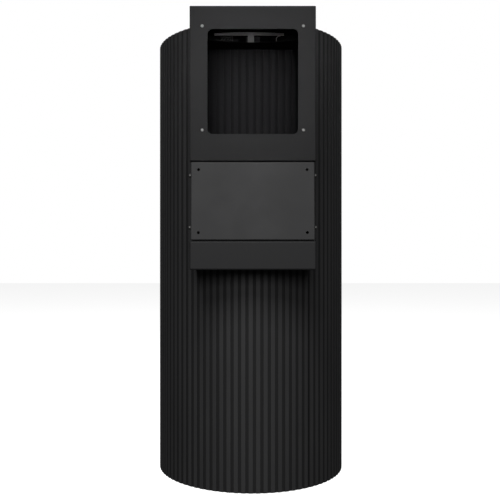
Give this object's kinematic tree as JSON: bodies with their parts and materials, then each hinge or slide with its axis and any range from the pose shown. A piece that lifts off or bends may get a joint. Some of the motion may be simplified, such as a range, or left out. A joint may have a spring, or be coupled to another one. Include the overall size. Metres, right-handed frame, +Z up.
{
  "type": "museum kiosk",
  "caption": "Round fluted column kiosk with a folded metal console on its front: open display window, tilted keypad plate and apron, and a hinged service door behind.",
  "frame": {"origin": "on the floor, at the column's axis, in the underside plane of the base plate", "axes": "+Z up; the console faces -Y; +X is to the right of a person who looks at the console"},
  "size_m": [0.5, 0.597, 1.1435],
  "materials": {
    "black_powder_coat": "fine-textured satin black powder coat",
    "black_fluted_cladding": "matte black coated fluted aluminium extrusion",
    "black_rubber": "matte",
    "plain_aluminium": "plain mill finish",
    "dark_aluminium": "dark anodised",
    "dark_plastic": "fine moulded texture",
    "zinc_steel": "zinc plated",
    "blackened_steel": "black oxide",
    "chrome_lock": "polished"
  },
  "bodies": {
    "column": {"bezel_panel": "black_powder_coat", "keypad_plate": "black_powder_coat", "apron_panel": "black_powder_coat", "console_side_left": "black_powder_coat", "console_side_right": "black_powder_coat", "console_roof": "black_powder_coat", "console_floor": "black_powder_coat", "seal_strips": "black_rubber", "bay_shelf": "black_powder_coat", "bay_back": "black_powder_coat", "display_hanger": "plain_aluminium", "terminal_block": "dark_plastic", "cable_hook": "zinc_steel", "bezel_screws": "zinc_steel", "display_standoffs": "zinc_steel", "keypad_side_screws": "blackened_steel", "keypad_side_washers": "blackened_steel", "rivet_nuts": "zinc_steel", "mounting_rails": "black_powder_coat", "rail_screws": "zinc_steel", "loom_grommet": "black_rubber", "base_plate": "black_powder_coat", "base_grommet": "black_rubber", "shell_left": "black_powder_coat", "shell_right": "black_powder_coat", "rear_skirt": "black_powder_coat", "rear_header": "black_powder_coat", "column_cladding": "black_fluted_cladding", "top_ring": "black_powder_coat", "top_cap": "black_powder_coat", "cap_screws": "blackened_steel", "inner_posts": "zinc_steel", "door_jambs": "black_powder_coat", "door_seal": "black_rubber", "hinge_leaves_body": "blackened_steel", "hinge_pins": "zinc_steel", "equipment_shelf": "zinc_steel", "shelf_brackets": "zinc_steel", "computer_case": "dark_aluminium", "computer_feet": "black_rubber", "power_strip": "plain_aluminium", "strip_bracket": "zinc_steel"},
    "door": {"door_shell": "black_powder_coat", "door_cladding": "black_fluted_cladding", "door_stiffeners": "black_powder_coat", "hinge_leaves_door": "blackened_steel", "lock_body": "chrome_lock", "lock_nut": "zinc_steel", "fan_frame": "dark_plastic", "fan_guard": "zinc_steel", "fan_standoffs": "zinc_steel"},
    "lock": {"lock_barrel": "chrome_lock", "lock_cam": "zinc_steel"},
    "fan": {"fan_rotor": "dark_plastic"},
    "rocker": {"power_rocker": "dark_plastic"}
  },
  "joints": [
    {"name": "door_hinge", "type": "hinge", "parent": "column", "child": "door", "pos_m": [0.17119, 0.189, 0.57], "axis": [0, 0, -1], "range_deg": [0, 110]},
    {"name": "lock_turn", "type": "hinge", "parent": "door", "child": "lock", "pos_m": [-0.13001, 0.19576, 0.57], "axis": [0.5532, -0.833, 0], "range_deg": [0, 90]},
    {"name": "fan_spin", "type": "hinge", "parent": "door", "child": "fan", "pos_m": [0, 0.218, 0.95], "axis": [0, 1, 0], "continuous": true},
    {"name": "rocker_tip", "type": "hinge", "parent": "column", "child": "rocker", "pos_m": [0.1, -0.088, 0.101], "axis": [0, 1, 0], "range_deg": [-16, 0]}
  ]
}
